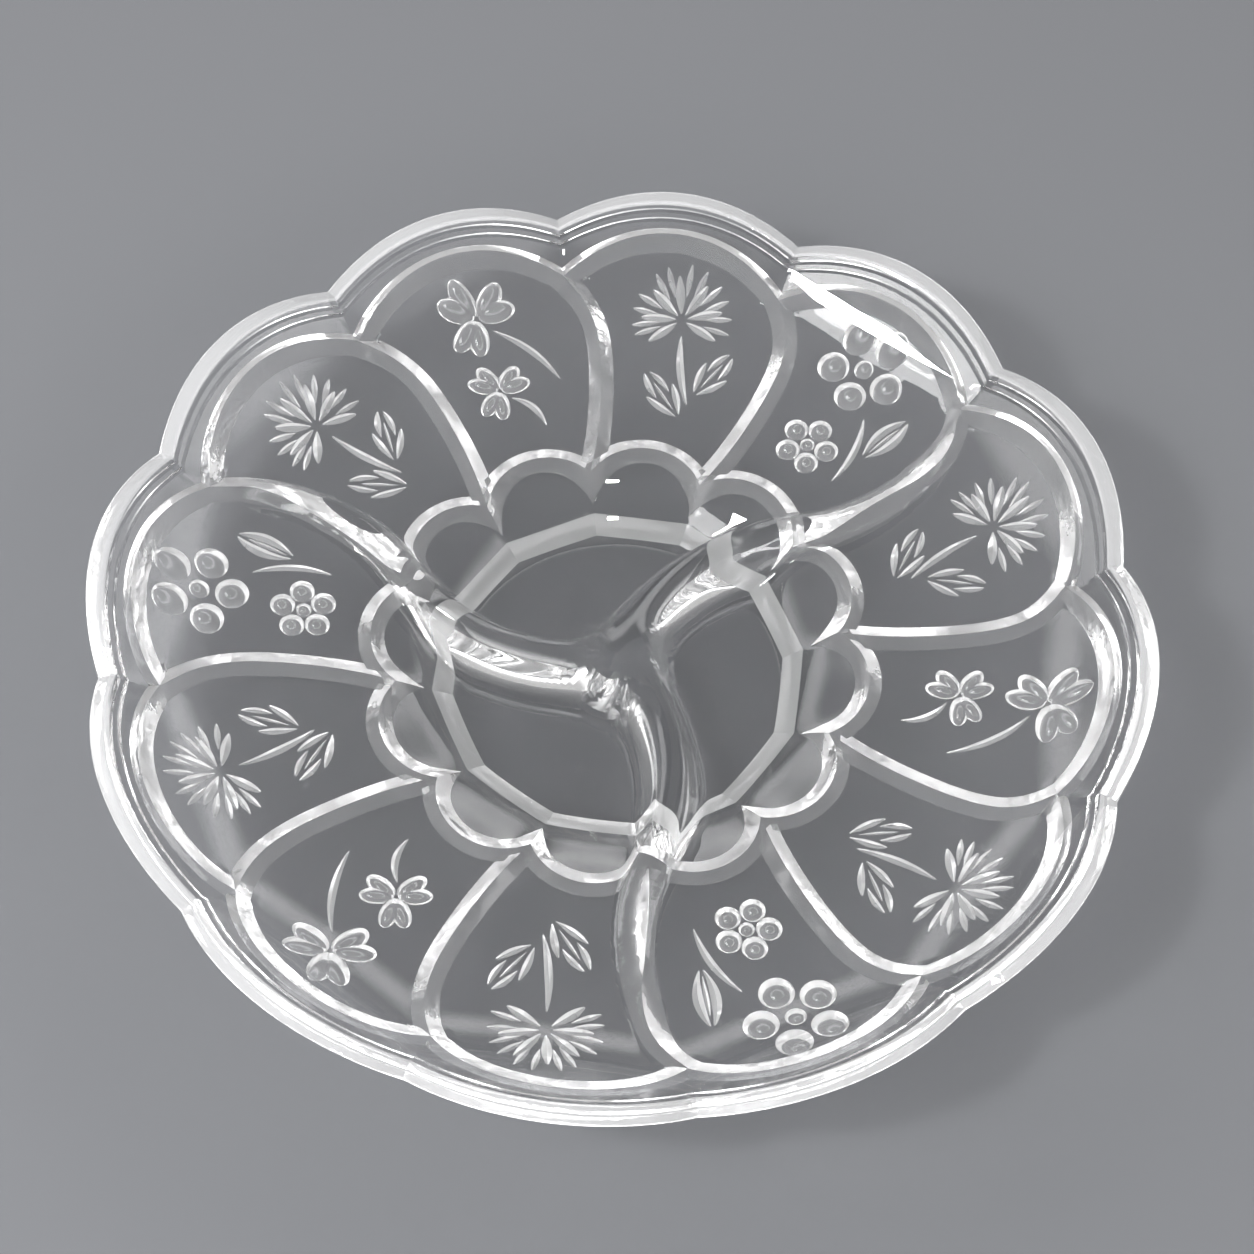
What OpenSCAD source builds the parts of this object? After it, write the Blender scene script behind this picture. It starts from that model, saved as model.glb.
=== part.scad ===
// Three-part relish tray of pressed clear glass.
// A round well with twelve lobes sits in a gently rising field of twelve petals.
// Each petal folds up into one panel of a scalloped rim, and three S-shaped ridges part the tray.
// The tray is one pressing: every sub-part here is a region of it, cut along its mould lines.
// Origin: centre of the base. +Z is up. One divider ends at the front notch, towards -Y.

/* [Rim] */
// Radius of the rim at the tip of each scallop
rim_tip_r = 150; // [142:0.5:165]
// Height of the rim at the tip of each scallop
rim_tip_h = 43.5; // [40:0.5:50]
// How far each scallop rises from its notches to its tip
scallop_rise = 8.5; // [5:0.5:13]
// How far the rim panels reach outwards, from the crease to the tip
rim_run = 24.9; // [20:0.1:30]
// Thickness of the upturned rim panels
rim_t = 4.2; // [3:0.1:6]

/* [Petal field] */
// Height of the field's underside at the corners where it folds up into the rim
crease_h = 20.4; // [16:0.1:25]
// Thickness of the glass in the field
field_t = 5; // [3.5:0.1:6.5]

/* [Well] */
// Radius of the notches between two well lobes
well_notch_r = 64.4; // [60:0.2:68]
// How far the tips of the well lobes stand out past their notches
well_lobe_out = 7.8; // [6:0.2:12]
// Height of the field's underside at the well notches
well_edge_h = 11.1; // [9.5:0.1:14]
// How far inside the notches the smooth inside of the well would meet the field in a sharp edge
well_mouth_in = 1.4; // [0:0.2:4]
// Steepness of the well's inside wall, in degrees
well_wall_angle = 33; // [28:1:42]
// Radius of the round between the floor and the inside wall
well_fillet_r = 14; // [8:0.5:16]
// Radius of the round over the well's mouth
well_shoulder_r = 12; // [6:0.5:14]
// Thickness of the floor
floor_t = 6; // [4:0.1:8]

/* [Base] */
// How far the corners of the twelve-sided base lie inside the well notches
base_in = 14.9; // [12:0.1:17.5]
// Width of the bevel around the base
bevel_w = 6; // [4:0.1:7]
// Height of the bevel around the base
bevel_h = 4.6; // [3:0.1:5.5]

/* [Mitre grooves] */
// Width of the V grooves that outline the petals and the well lobes
groove_w = 7.6; // [4:0.1:9]
// Depth of those grooves
groove_d = 2.5; // [1.2:0.1:3]
// How far the line between two petals bows out of the straight
line_bow = 7; // [3:0.25:10]
// How far the petals' outer arcs reach past the crease at the middle of each petal
petal_arc_run = 13.4; // [10:0.1:17]

/* [Dividers] */
// Height of the ridges' crest at the centre of the tray
divider_hub_h = 19; // [17:0.25:24]
// How far the ridges' crest stands above the field where they run out near the rim
divider_end_rise = 1.2; // [0.6:0.1:4]
// Gap between the end of a ridge and the corner of the crease
divider_end_gap = 8.5; // [5:0.5:25]
// How far past the well notches the S of a ridge changes its bend
divider_turn_out = 2.6; // [-8:0.1:10]
// Half the turn of each bend of the S, in degrees
divider_sweep = 32; // [15:1:40]
// Radius of the round crest
divider_crest_r = 4.6; // [3:0.1:6]
// Steepness of the ridges' flanks, in degrees
divider_flank_angle = 70; // [62:1:80]
// Radius of the round hub where the ridges meet
hub_r = 16; // [13:0.5:20]
// Radius of the hub's top
hub_top_r = 8; // [5:0.5:10]

/* [Hidden] */
$fn = 96;
LOBES = 12;
DIVIDERS = 3;
lobe_turn = 360 / LOBES;
half_turn = lobe_turn / 2;
glass = [0.86, 0.9, 0.91, 0.55];

// Room that cutting solids reach past what they cut
over = 1;
block_h = rim_tip_h + over;
far_r = rim_tip_r + rim_run;

// Crease: a twelve-sided fold between the field and the rim panels
crease_s = rim_tip_r - rim_run;
crease_r = crease_s / cos(half_turn);
crease_half = crease_s * tan(half_turn);

// Field: a cone, whose underside height and top height follow the radius
field_slope = (crease_h - well_edge_h) / (crease_r - well_notch_r);
field_angle = atan(field_slope);
field_rise = field_t / cos(field_angle);
function under_z(r) = well_edge_h + field_slope * (r - well_notch_r);
function top_z(r) = under_z(r) + field_rise;

// Rim panels: planes that start at the straight crease between two corners
rim_slope = (rim_tip_h - crease_h) / rim_run;
rim_angle = atan(rim_slope);
rim_rise = rim_t / cos(rim_angle);
// Distance at which the rim's inner plane meets the field's top, in the middle of a petal
fold_s = crease_s + (top_z(crease_s) - crease_h - rim_rise) / (rim_slope - field_slope);
// Distance at which a plane of the rim, lifted straight up, would pass under the base
function rim_foot_s(lift) = crease_s - (crease_h + lift + over) / rim_slope;
rim_notch_h = rim_tip_h - scallop_rise;
rim_notch_s = crease_s + (rim_notch_h - crease_h) / rim_slope;
scallop_half = rim_notch_s * tan(half_turn);
scallop_r = arc_radius(scallop_half, scallop_rise);

// Well: round lobes in plan, each through two notches and its tip
well_tip_r = well_notch_r + well_lobe_out;
well_notch_s = well_notch_r * cos(half_turn);
well_notch_half = well_notch_r * sin(half_turn);
lobe_r = arc_radius(well_notch_half, well_tip_r - well_notch_s);
lobe_s = well_tip_r - lobe_r;
base_s = (well_notch_r - base_in) * cos(half_turn);
bevel_s = base_s + bevel_w;
// Flute under each lobe: a cylinder whose lowest line climbs from the bevel to the lobe's tip
flute_slope = (under_z(well_tip_r) - bevel_h) / (well_tip_r - bevel_s);
flute_angle = atan(flute_slope);
flute_side_rise = under_z(well_notch_r) - bevel_h - flute_slope * (well_notch_s - bevel_s);
flute_r = arc_radius(well_notch_half, flute_side_rise * cos(flute_angle));

// Inside of the well: floor, fillet, wall and shoulder
well_mouth_r = well_notch_r - well_mouth_in;
well_foot_r = well_mouth_r - (top_z(well_mouth_r) - floor_t) / tan(well_wall_angle);
floor_flat_r = well_foot_r - well_fillet_r * tan(well_wall_angle / 2);
floor_s = floor_flat_r * cos(half_turn);
shoulder_reach = well_shoulder_r * tan((well_wall_angle - field_angle) / 2);
shoulder_start = [
    well_mouth_r - shoulder_reach * cos(well_wall_angle),
    top_z(well_mouth_r) - shoulder_reach * sin(well_wall_angle)
];
shoulder_centre = shoulder_start + well_shoulder_r * [sin(well_wall_angle), -cos(well_wall_angle)];
arc_steps = 8;
top_profile = concat(
    [[0, floor_t]],
    arc([floor_flat_r, floor_t + well_fillet_r], well_fillet_r, -90, -90 + well_wall_angle),
    arc(shoulder_centre, well_shoulder_r, 90 + well_wall_angle, 90 + field_angle),
    [[far_r, top_z(far_r)]]
);

// Petal lines: arcs from a well notch to a crease corner
line_half = (crease_r - well_notch_r) / 2;
line_mid = (crease_r + well_notch_r) / 2;
line_r = arc_radius(line_half, line_bow);
petal_arc_rise = petal_arc_run / cos(rim_angle);
petal_arc_rr = arc_radius(crease_half, petal_arc_rise);

// Ridges: two arcs that make an S from the centre to a crease corner
divider_end_r = crease_r - divider_end_gap;
divider_end_h = top_z(divider_end_r) + divider_end_rise;
divider_turn_r = well_notch_r + divider_turn_out;
crest_slope = (divider_end_h - divider_hub_h) / divider_end_r;
crest_angle = atan(crest_slope);
ridge_depth = divider_end_h;
flank_lean = 90 - divider_flank_angle;

// Radius of the arc whose half chord and rise are given
function arc_radius(half_chord, rise) = (half_chord * half_chord + rise * rise) / (2 * rise);
function arc(centre, r, from, to) =
    [for (i = [0:arc_steps]) let (a = from + (to - from) * i / arc_steps) centre + r * [cos(a), sin(a)]];
function lobe_angle(i) = half_turn + lobe_turn * (i - 1);
function notch_angle(i) = lobe_turn * (i - 1);
function divider_angle(i) = lobe_turn + (i - 1) * 360 / DIVIDERS;

// Sector of one lobe, lying along +X
module sector() {
    reach = far_r / cos(half_turn);
    linear_extrude(block_h)
        polygon([[0, 0], reach * [cos(half_turn), -sin(half_turn)], reach * [cos(half_turn), sin(half_turn)]]);
}

// Slab across one lobe from a side view outline of distance and height
module across(outline) {
    translate([0, far_r, 0]) rotate([90, 0, 0]) linear_extrude(2 * far_r) polygon(outline);
}

// Everything under the tray's smooth top, out past the rim
module below_top() {
    rotate_extrude() polygon(concat([[0, -over]], top_profile, [[far_r, -over]]));
}

// Everything under the field's underside
module below_field() {
    rotate_extrude() polygon([[0, -2 * over], [0, under_z(0)], [far_r, under_z(far_r)], [far_r, -2 * over]]);
}

// Ring with a V section, along an arc of radius r that starts at one angle and turns on.
// It runs on by its own width at both ends, so that grooves that meet cut into each other.
module groove(r, start, turn) {
    flare = groove_w / 2 * (1 + over / groove_d);
    run_on = asin(groove_w / r);
    rotate_extrude(start = start - run_on, angle = turn + 2 * run_on)
        polygon([[r - flare, -over], [r + flare, -over], [r, groove_d]]);
}

// Disc whose edge is the line between two petals, lying along +X
module line_disc() {
    translate([line_mid, line_r - line_bow, 0]) cylinder(r = line_r, h = block_h);
}

// Groove along the line between two petals, lying along +X
module line_groove() {
    turn = asin(line_half / line_r);
    translate([line_mid, line_r - line_bow, under_z(line_mid)]) rotate([0, -field_angle, 0])
        groove(line_r, -90 - turn, 2 * turn);
}

// Disc of one well lobe, lying along +X
module lobe_disc() {
    translate([lobe_s, 0, 0]) cylinder(r = lobe_r, h = block_h);
}

// Groove around one well lobe, lying along +X
module lobe_groove() {
    turn = atan2(well_notch_half, well_notch_s - lobe_s);
    translate([lobe_s, 0, under_z(lobe_s)]) rotate([0, -field_angle, 0]) groove(lobe_r, -turn, 2 * turn);
}

// Groove along the outer arc of one petal, on the rim panel's outer face
module arc_groove() {
    turn = atan2(crease_half, petal_arc_rr - petal_arc_rise);
    translate([crease_s, 0, crease_h]) rotate([0, -rim_angle, 0]) translate([petal_arc_rise - petal_arc_rr, 0, 0])
        groove(petal_arc_rr, -turn, 2 * turn);
}

// Twelve-sided prism whose flats lie at distance s from the axis
module twelve_sided(s, h) {
    linear_extrude(h)
        polygon([for (i = [1:LOBES]) s / cos(half_turn) * [cos(notch_angle(i)), sin(notch_angle(i))]]);
}

// Cross-section of a ridge, with its crest at height 0
module ridge_section() {
    crest = arc([0, -divider_crest_r], divider_crest_r, flank_lean, flank_lean + 2 * divider_flank_angle);
    foot = crest[0][0] + (ridge_depth + crest[0][1]) * tan(flank_lean);
    polygon(concat([[foot, -ridge_depth]], crest, [[-foot, -ridge_depth]]));
}

// One bend of the S of a ridge, along +X between two distances; side is 1 or -1, the way it bulges along Y
module ridge_bend(from, to, side) {
    bend_r = (to - from) / 2 / sin(divider_sweep);
    translate([0, 0, divider_hub_h]) rotate([0, -crest_angle, 0])
        translate([(from + to) / 2, -side * bend_r * cos(divider_sweep), 0])
            rotate_extrude(start = side * 90 - divider_sweep, angle = 2 * divider_sweep)
                translate([bend_r, 0]) ridge_section();
}

// Bend of a ridge from the axis out to the turn of the S
module inner_bend() {
    ridge_bend(0, divider_turn_r, 1);
}

// Bend of a ridge from the turn of the S out to the crease
module outer_bend() {
    ridge_bend(divider_turn_r, crease_r, -1);
}

// Flat floor of the well, which the tray stands on
module well_floor() {
    color(glass) twelve_sided(floor_s, floor_t);
}

// Fluted wall of the well under one petal
module well_lobe(i) {
    bevel_run = bevel_w / bevel_h;
    color(glass) rotate([0, 0, lobe_angle(i)]) difference() {
        intersection() {
            below_top();
            sector();
            lobe_disc();
            across([[floor_s, 0], [far_r, 0], [far_r, block_h], [floor_s, block_h]]);
        }
        difference() {
            across([[base_s - over * bevel_run, -over], [base_s + block_h * bevel_run, block_h], [far_r, -over]]);
            translate([bevel_s, 0, bevel_h]) rotate([0, 90 - flute_angle, 0]) translate([-flute_r, 0, -far_r])
                cylinder(r = flute_r, h = 2 * far_r);
        }
        lobe_groove();
    }
}

// Field of one petal, between its own line and the next petal's
module petal(i) {
    color(glass) difference() {
        intersection() {
            below_top();
            twelve_sided(fold_s, block_h);
            rotate([0, 0, notch_angle(i)]) line_disc();
        }
        below_field();
        rotate([0, 0, notch_angle(i + 1)]) line_disc();
        cylinder(r = lobe_s, h = block_h);
        for (j = [i - 1:i + 1]) rotate([0, 0, lobe_angle(j)]) {
            lobe_disc();
            lobe_groove();
        }
        for (j = [i, i + 1]) rotate([0, 0, notch_angle(j)]) line_groove();
    }
}

// Upturned panel of the rim with its scalloped top edge
module rim_scallop(i) {
    far_rise = rim_slope * (far_r - crease_s);
    color(glass) rotate([0, 0, lobe_angle(i)]) difference() {
        intersection() {
            union() {
                below_top();
                across([[rim_foot_s(rim_rise), -over], [far_r, crease_h + rim_rise + far_rise], [far_r, -over]]);
            }
            sector();
            across([[fold_s, 0], [far_r, 0], [far_r, block_h], [fold_s, block_h]]);
            translate([0, 0, rim_tip_h - scallop_r]) rotate([0, 90, 0]) cylinder(r = scallop_r, h = far_r);
        }
        below_field();
        across([[rim_foot_s(0), -over], [far_r, crease_h + far_rise], [far_r, -over]]);
        arc_groove();
    }
}

// Inner bend of a ridge, which parts the well
module well_divider(i) {
    color(glass) difference() {
        intersection() {
            rotate([0, 0, divider_angle(i)]) inner_bend();
            cylinder(r = divider_end_r, h = block_h);
        }
        below_top();
        cylinder(r = hub_r, h = block_h);
    }
}

// Outer bend of a ridge, which runs out over the petals
module field_divider(i) {
    color(glass) difference() {
        intersection() {
            rotate([0, 0, divider_angle(i)]) outer_bend();
            cylinder(r = divider_end_r, h = block_h);
        }
        below_top();
    }
}

// Rounded middle where the three ridges run together
module divider_hub() {
    color(glass) {
        for (i = [1:DIVIDERS]) intersection() {
            rotate([0, 0, divider_angle(i)]) inner_bend();
            translate([0, 0, floor_t]) cylinder(r = hub_r, h = block_h);
        }
        translate([0, 0, floor_t]) cylinder(r1 = hub_r, r2 = hub_top_r, h = divider_hub_h - floor_t);
    }
}

well_floor();
divider_hub();
for (i = [1:LOBES]) {
    well_lobe(i);
    petal(i);
    rim_scallop(i);
}
for (i = [1:DIVIDERS]) {
    well_divider(i);
    field_divider(i);
}
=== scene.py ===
"""Looks of a three-part relish tray of pressed clear glass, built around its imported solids.

The tray is one pressing, so one closed glass shell stands for all the regions of the solids. Its
top and its underside are height functions of the plan, and the flowers are cut out of the underside.
All lengths are in millimetres until a mesh is made.
"""
import bpy
import numpy as np
from mathutils import Matrix


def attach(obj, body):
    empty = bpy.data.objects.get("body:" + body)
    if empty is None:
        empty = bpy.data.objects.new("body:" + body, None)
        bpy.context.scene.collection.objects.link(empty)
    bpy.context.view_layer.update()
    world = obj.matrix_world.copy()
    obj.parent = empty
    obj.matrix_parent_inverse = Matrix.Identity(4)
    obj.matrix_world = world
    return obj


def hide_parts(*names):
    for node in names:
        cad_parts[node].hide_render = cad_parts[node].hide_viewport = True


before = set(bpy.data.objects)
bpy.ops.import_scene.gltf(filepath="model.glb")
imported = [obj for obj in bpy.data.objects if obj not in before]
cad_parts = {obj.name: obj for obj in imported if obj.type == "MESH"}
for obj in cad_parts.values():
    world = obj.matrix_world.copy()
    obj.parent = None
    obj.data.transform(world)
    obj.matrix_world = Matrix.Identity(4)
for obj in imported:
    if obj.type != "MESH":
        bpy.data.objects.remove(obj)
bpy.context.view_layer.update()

MM = 0.001
FULL_TURN = 2 * np.pi

# Sizes of the tray, as in its solids
PETALS = 12
RIM_TIP_R = 150.0
RIM_TIP_H = 43.5
SCALLOP_RISE = 8.5
RIM_RUN = 24.9
RIM_T = 4.2
CREASE_H = 20.4
FIELD_T = 5.0
WELL_NOTCH_R = 64.4
WELL_LOBE_OUT = 7.8
WELL_EDGE_H = 11.1
WELL_MOUTH_IN = 1.4
WELL_WALL = np.radians(33)
WELL_FILLET_R = 14.0
WELL_SHOULDER_R = 12.0
FLOOR_T = 6.0
BASE_IN = 14.9
BEVEL_W = 6.0
BEVEL_H = 4.6
GROOVE_HALF = 3.8
GROOVE_D = 2.5
PETAL_ARC_RUN = 13.4
DIVIDERS = 3
DIVIDER_HUB_H = 19.0
DIVIDER_END_RISE = 1.2
DIVIDER_END_GAP = 8.5
DIVIDER_TURN_OUT = 2.6
DIVIDER_SWEEP = np.radians(32)
DIVIDER_CREST_R = 4.6
DIVIDER_FLANK = np.radians(70)
FIRST_DIVIDER = np.radians(30)

# Finer forms that the solids leave out
LINE_BOW = 0.392
LINE_HOOK = 0.608
RIM_TILT = 0.45
RIM_ROUND = 0.9
HUB_SOFT = 4.0
FOOT_SOFT = 6.0
CREASE_SOFT = 9.0
RIM_LINES = (4.3, 6.3)
RIM_LINE_HALF = 0.5
RIM_LINE_D = 0.45
FLUTE_SCOOP = 1.5
DIVIDER_NOSE = np.radians(21)
FOOT_CRISP = 2.0
# Radii between which the feet of the ridges turn from soft to crisp
FOOT_TURN = (70.0, 105.0)


def arc_radius(half_chord, rise):
    """Radius of the arc whose half chord and rise are given."""
    return (half_chord ** 2 + rise ** 2) / (2 * rise)


HALF_PETAL = np.pi / PETALS
PETAL_TURN = 2 * HALF_PETAL
CREASE_S = RIM_TIP_R - RIM_RUN
CREASE_R = CREASE_S / np.cos(HALF_PETAL)
FIELD_SLOPE = (CREASE_H - WELL_EDGE_H) / (CREASE_R - WELL_NOTCH_R)
FIELD_LEAN = np.arctan(FIELD_SLOPE)
FIELD_RISE = FIELD_T / np.cos(FIELD_LEAN)
RIM_SLOPE = (RIM_TIP_H - CREASE_H) / RIM_RUN
RIM_LEAN = np.arctan(RIM_SLOPE)
RIM_RISE = RIM_T / np.cos(RIM_LEAN)
RIM_NOTCH_H = RIM_TIP_H - SCALLOP_RISE
SCALLOP_HALF = (CREASE_S + (RIM_NOTCH_H - CREASE_H) / RIM_SLOPE) * np.tan(HALF_PETAL)
SCALLOP_R = arc_radius(SCALLOP_HALF, SCALLOP_RISE)
LOBE_HALF = WELL_NOTCH_R * np.sin(HALF_PETAL)
WELL_TIP_R = WELL_NOTCH_R + WELL_LOBE_OUT
LOBE_R = arc_radius(LOBE_HALF, WELL_TIP_R - WELL_NOTCH_R * np.cos(HALF_PETAL))
LOBE_S = WELL_TIP_R - LOBE_R
BASE_S = (WELL_NOTCH_R - BASE_IN) * np.cos(HALF_PETAL)
BEVEL_S = BASE_S + BEVEL_W
ARC_RISE = PETAL_ARC_RUN / np.cos(RIM_LEAN)
ARC_R = arc_radius(CREASE_S * np.tan(HALF_PETAL), ARC_RISE)
DIVIDER_END_R = CREASE_R - DIVIDER_END_GAP
DIVIDER_TURN_R = WELL_NOTCH_R + DIVIDER_TURN_OUT
INNER_BEND_X = DIVIDER_TURN_R / 2
OUTER_BEND_X = (DIVIDER_TURN_R + CREASE_R) / 2
INNER_BEND_R = DIVIDER_TURN_R / 2 / np.sin(DIVIDER_SWEEP)
OUTER_BEND_R = (CREASE_R - DIVIDER_TURN_R) / 2 / np.sin(DIVIDER_SWEEP)

# Points by which a divider's bend and a petal line are sampled, and rounds of substitution for a rim edge
BEND_POINTS = 80
LINE_POINTS = 200
EDGE_ROUNDS = 12


def field_under(r):
    """Underside of the petal field: a cone through the well notches and the crease corners."""
    return WELL_EDGE_H + FIELD_SLOPE * (r - WELL_NOTCH_R)


def field_top(r):
    """Top of the petal field: its underside lifted by the glass thickness."""
    return field_under(r) + FIELD_RISE


CREST_SLOPE = (field_top(DIVIDER_END_R) + DIVIDER_END_RISE - DIVIDER_HUB_H) / DIVIDER_END_R


def smooth_step(low, high, x):
    """0 below low, 1 above high, and a cubic S between."""
    h = np.clip((x - low) / (high - low), 0, 1)
    return h * h * (3 - 2 * h)


def smooth_max(a, b, soft):
    """The higher of two surfaces, with a parabolic fillet where they are less than soft apart."""
    near = np.maximum(soft - np.abs(a - b), 0)
    return np.maximum(a, b) + near ** 2 / (4 * soft)


def from_middle(angle):
    """Angle from the middle line of the petal that holds it, between plus and minus half a petal."""
    return np.mod(angle, PETAL_TURN) - HALF_PETAL


def from_notch(angle):
    """Angle from the nearest notch."""
    return np.mod(angle + HALF_PETAL, PETAL_TURN) - HALF_PETAL


def rim_plane(s, lift):
    """Height of a rim panel at distance s along its petal's middle line, lifted straight up."""
    return CREASE_H + lift + RIM_SLOPE * (s - CREASE_S)


def well_inside(r):
    """Smooth inside of the well: flat floor, round fillet, straight wall, round shoulder, field cone."""
    mouth_r = WELL_NOTCH_R - WELL_MOUTH_IN
    foot_r = mouth_r - (field_top(mouth_r) - FLOOR_T) / np.tan(WELL_WALL)
    flat_r = foot_r - WELL_FILLET_R * np.tan(WELL_WALL / 2)
    fillet_end = flat_r + WELL_FILLET_R * np.sin(WELL_WALL)
    reach = WELL_SHOULDER_R * np.tan((WELL_WALL - FIELD_LEAN) / 2)
    start_r = mouth_r - reach * np.cos(WELL_WALL)
    end_r = mouth_r + reach * np.cos(FIELD_LEAN)
    start_z = field_top(mouth_r) - reach * np.sin(WELL_WALL)
    centre_r = start_r + WELL_SHOULDER_R * np.sin(WELL_WALL)
    centre_z = start_z - WELL_SHOULDER_R * np.cos(WELL_WALL)
    fillet = FLOOR_T + WELL_FILLET_R - np.sqrt(np.maximum(WELL_FILLET_R ** 2 - (r - flat_r) ** 2, 0))
    wall = start_z + (r - start_r) * np.tan(WELL_WALL)
    shoulder = centre_z + np.sqrt(np.maximum(WELL_SHOULDER_R ** 2 - (r - centre_r) ** 2, 0))
    steps = [r < flat_r, r < fillet_end, r < start_r, r < end_r]
    return np.select(steps, [np.full_like(r, FLOOR_T), fillet, wall, shoulder], field_top(r))


def arc_distance(x, y, centre, radius, middle, end):
    """Distance in plan from the arc of one bend: along its radius where the arc reaches, else from its
    nearer end."""
    dx, dy = x - centre[0], y - centre[1]
    turn = np.mod(np.arctan2(dy, dx) - middle + np.pi, FULL_TURN) - np.pi
    along = np.clip(turn, -DIVIDER_SWEEP, end) + middle
    return np.hypot(dx - radius * np.cos(along), dy - radius * np.sin(along))


def divider_distance(x, y):
    """Distance in plan from the S of one divider that runs along +X: the nearer of its two bends."""
    inner = (INNER_BEND_X, -INNER_BEND_R * np.cos(DIVIDER_SWEEP))
    outer = (OUTER_BEND_X, OUTER_BEND_R * np.cos(DIVIDER_SWEEP))
    return np.minimum(
        arc_distance(x, y, inner, INNER_BEND_R, np.pi / 2, DIVIDER_SWEEP),
        arc_distance(x, y, outer, OUTER_BEND_R, -np.pi / 2, DIVIDER_NOSE),
    )


def divider_angle_at(r):
    """Polar angle of a divider's crest at radius r, from sampled points of its two bends."""
    a = np.linspace(DIVIDER_SWEEP, -DIVIDER_SWEEP, BEND_POINTS)
    rise = np.cos(a) - np.cos(DIVIDER_SWEEP)
    x = np.concatenate([INNER_BEND_X - INNER_BEND_R * np.sin(a), OUTER_BEND_X - OUTER_BEND_R * np.sin(a)])
    y = np.concatenate([INNER_BEND_R * rise, -OUTER_BEND_R * rise])
    return np.interp(r, np.hypot(x, y)[1:], np.arctan2(y, x)[1:])


def divider_height(x, y):
    """Height of the three ridges: a straight-rising crest less a drop that grows with the distance from
    the nearest S. The drop is a round crest that runs into straight flanks. The three distances are
    joined by a soft minimum, which makes the hub, and each S ends in a round nose short of the crease."""
    r = np.hypot(x, y)
    reach = 0
    for k in range(DIVIDERS):
        turn = FIRST_DIVIDER + k * FULL_TURN / DIVIDERS
        near = divider_distance(x * np.cos(turn) + y * np.sin(turn), y * np.cos(turn) - x * np.sin(turn))
        reach = reach + np.exp(-near / HUB_SOFT)
    near = np.maximum(-HUB_SOFT * np.log(reach), 0)
    edge = DIVIDER_CREST_R * np.sin(DIVIDER_FLANK)
    crown = DIVIDER_CREST_R - np.sqrt(DIVIDER_CREST_R ** 2 - np.minimum(near, edge) ** 2)
    drop = crown + np.maximum(near - edge, 0) * np.tan(DIVIDER_FLANK)
    return DIVIDER_HUB_H + CREST_SLOPE * r - drop


def tray_top(r, angle):
    """Top of the tray: the smooth inside of the well and field, the rim panels' inner planes and the ridges,
    with fillets where they meet."""
    panel = rim_plane(r * np.cos(from_middle(angle)), RIM_RISE)
    bowl = smooth_max(well_inside(r), panel, CREASE_SOFT)
    foot = FOOT_SOFT + (FOOT_CRISP - FOOT_SOFT) * smooth_step(*FOOT_TURN, r)
    return smooth_max(bowl, divider_height(r * np.cos(angle), r * np.sin(angle)), foot)


def line_side(r):
    """Polar angle of a petal line at radius r, from its notch. The line bows clockwise from the well
    notch and hooks back at the crease: minus length times (bow h(1-h) + hook h^4(1-h))."""
    h = np.linspace(0, 1, LINE_POINTS)
    length = CREASE_R - WELL_NOTCH_R
    x = WELL_NOTCH_R + length * h
    y = -length * (LINE_BOW * h * (1 - h) + LINE_HOOK * h ** 4 * (1 - h))
    return np.interp(r, np.hypot(x, y), np.arctan2(y, x))


def line_cosine(r):
    """Cosine of the angle between a petal line and the radius, from the slope of its polar angle."""
    step = 0.5
    swing = r * (line_side(r + step) - line_side(r - step)) / (2 * step)
    return 1 / np.sqrt(1 + swing ** 2)


def lobe_edge(middle, widen):
    """Radius at which a ray leaves a well lobe's circle, widened by some millimetres."""
    return LOBE_S * np.cos(middle) + np.sqrt((LOBE_R + widen) ** 2 - (LOBE_S * np.sin(middle)) ** 2)


def petal_arc_edge(middle, widen):
    """Radius at which a ray meets a petal's outer arc, a circle on the leaning rim panel."""
    reach = CREASE_S / np.cos(RIM_LEAN) + ARC_RISE - ARC_R
    lead = np.cos(middle) / np.cos(RIM_LEAN)
    a = lead ** 2 + np.sin(middle) ** 2
    return (lead * reach + np.sqrt((lead * reach) ** 2 - a * (reach ** 2 - (ARC_R + widen) ** 2))) / a


def rim_edge(middle, lift, rise):
    """Radius and height at which a ray meets the scalloped edge of a rim panel: the panel's lifted plane and
    a level cylinder over the petal's middle line, raised a little, by repeated substitution."""
    s = np.full_like(middle, RIM_TIP_R)
    for _ in range(EDGE_ROUNDS):
        z = RIM_TIP_H + rise - SCALLOP_R + np.sqrt(SCALLOP_R ** 2 - (s * np.tan(middle)) ** 2)
        s = CREASE_S + (z - CREASE_H - lift) / RIM_SLOPE
    return s / np.cos(middle), z


def mitre(distance):
    """Depth of a V groove at a distance from its keel."""
    return GROOVE_D * np.maximum(1 - np.abs(distance) / GROOVE_HALF, 0)


def plain_under(r, angle):
    """Underside without grooves, outside the well: the field cone, which curves up into the panel's plane."""
    return smooth_max(field_under(r), rim_plane(r * np.cos(from_middle(angle)), 0), CREASE_SOFT)


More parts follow.
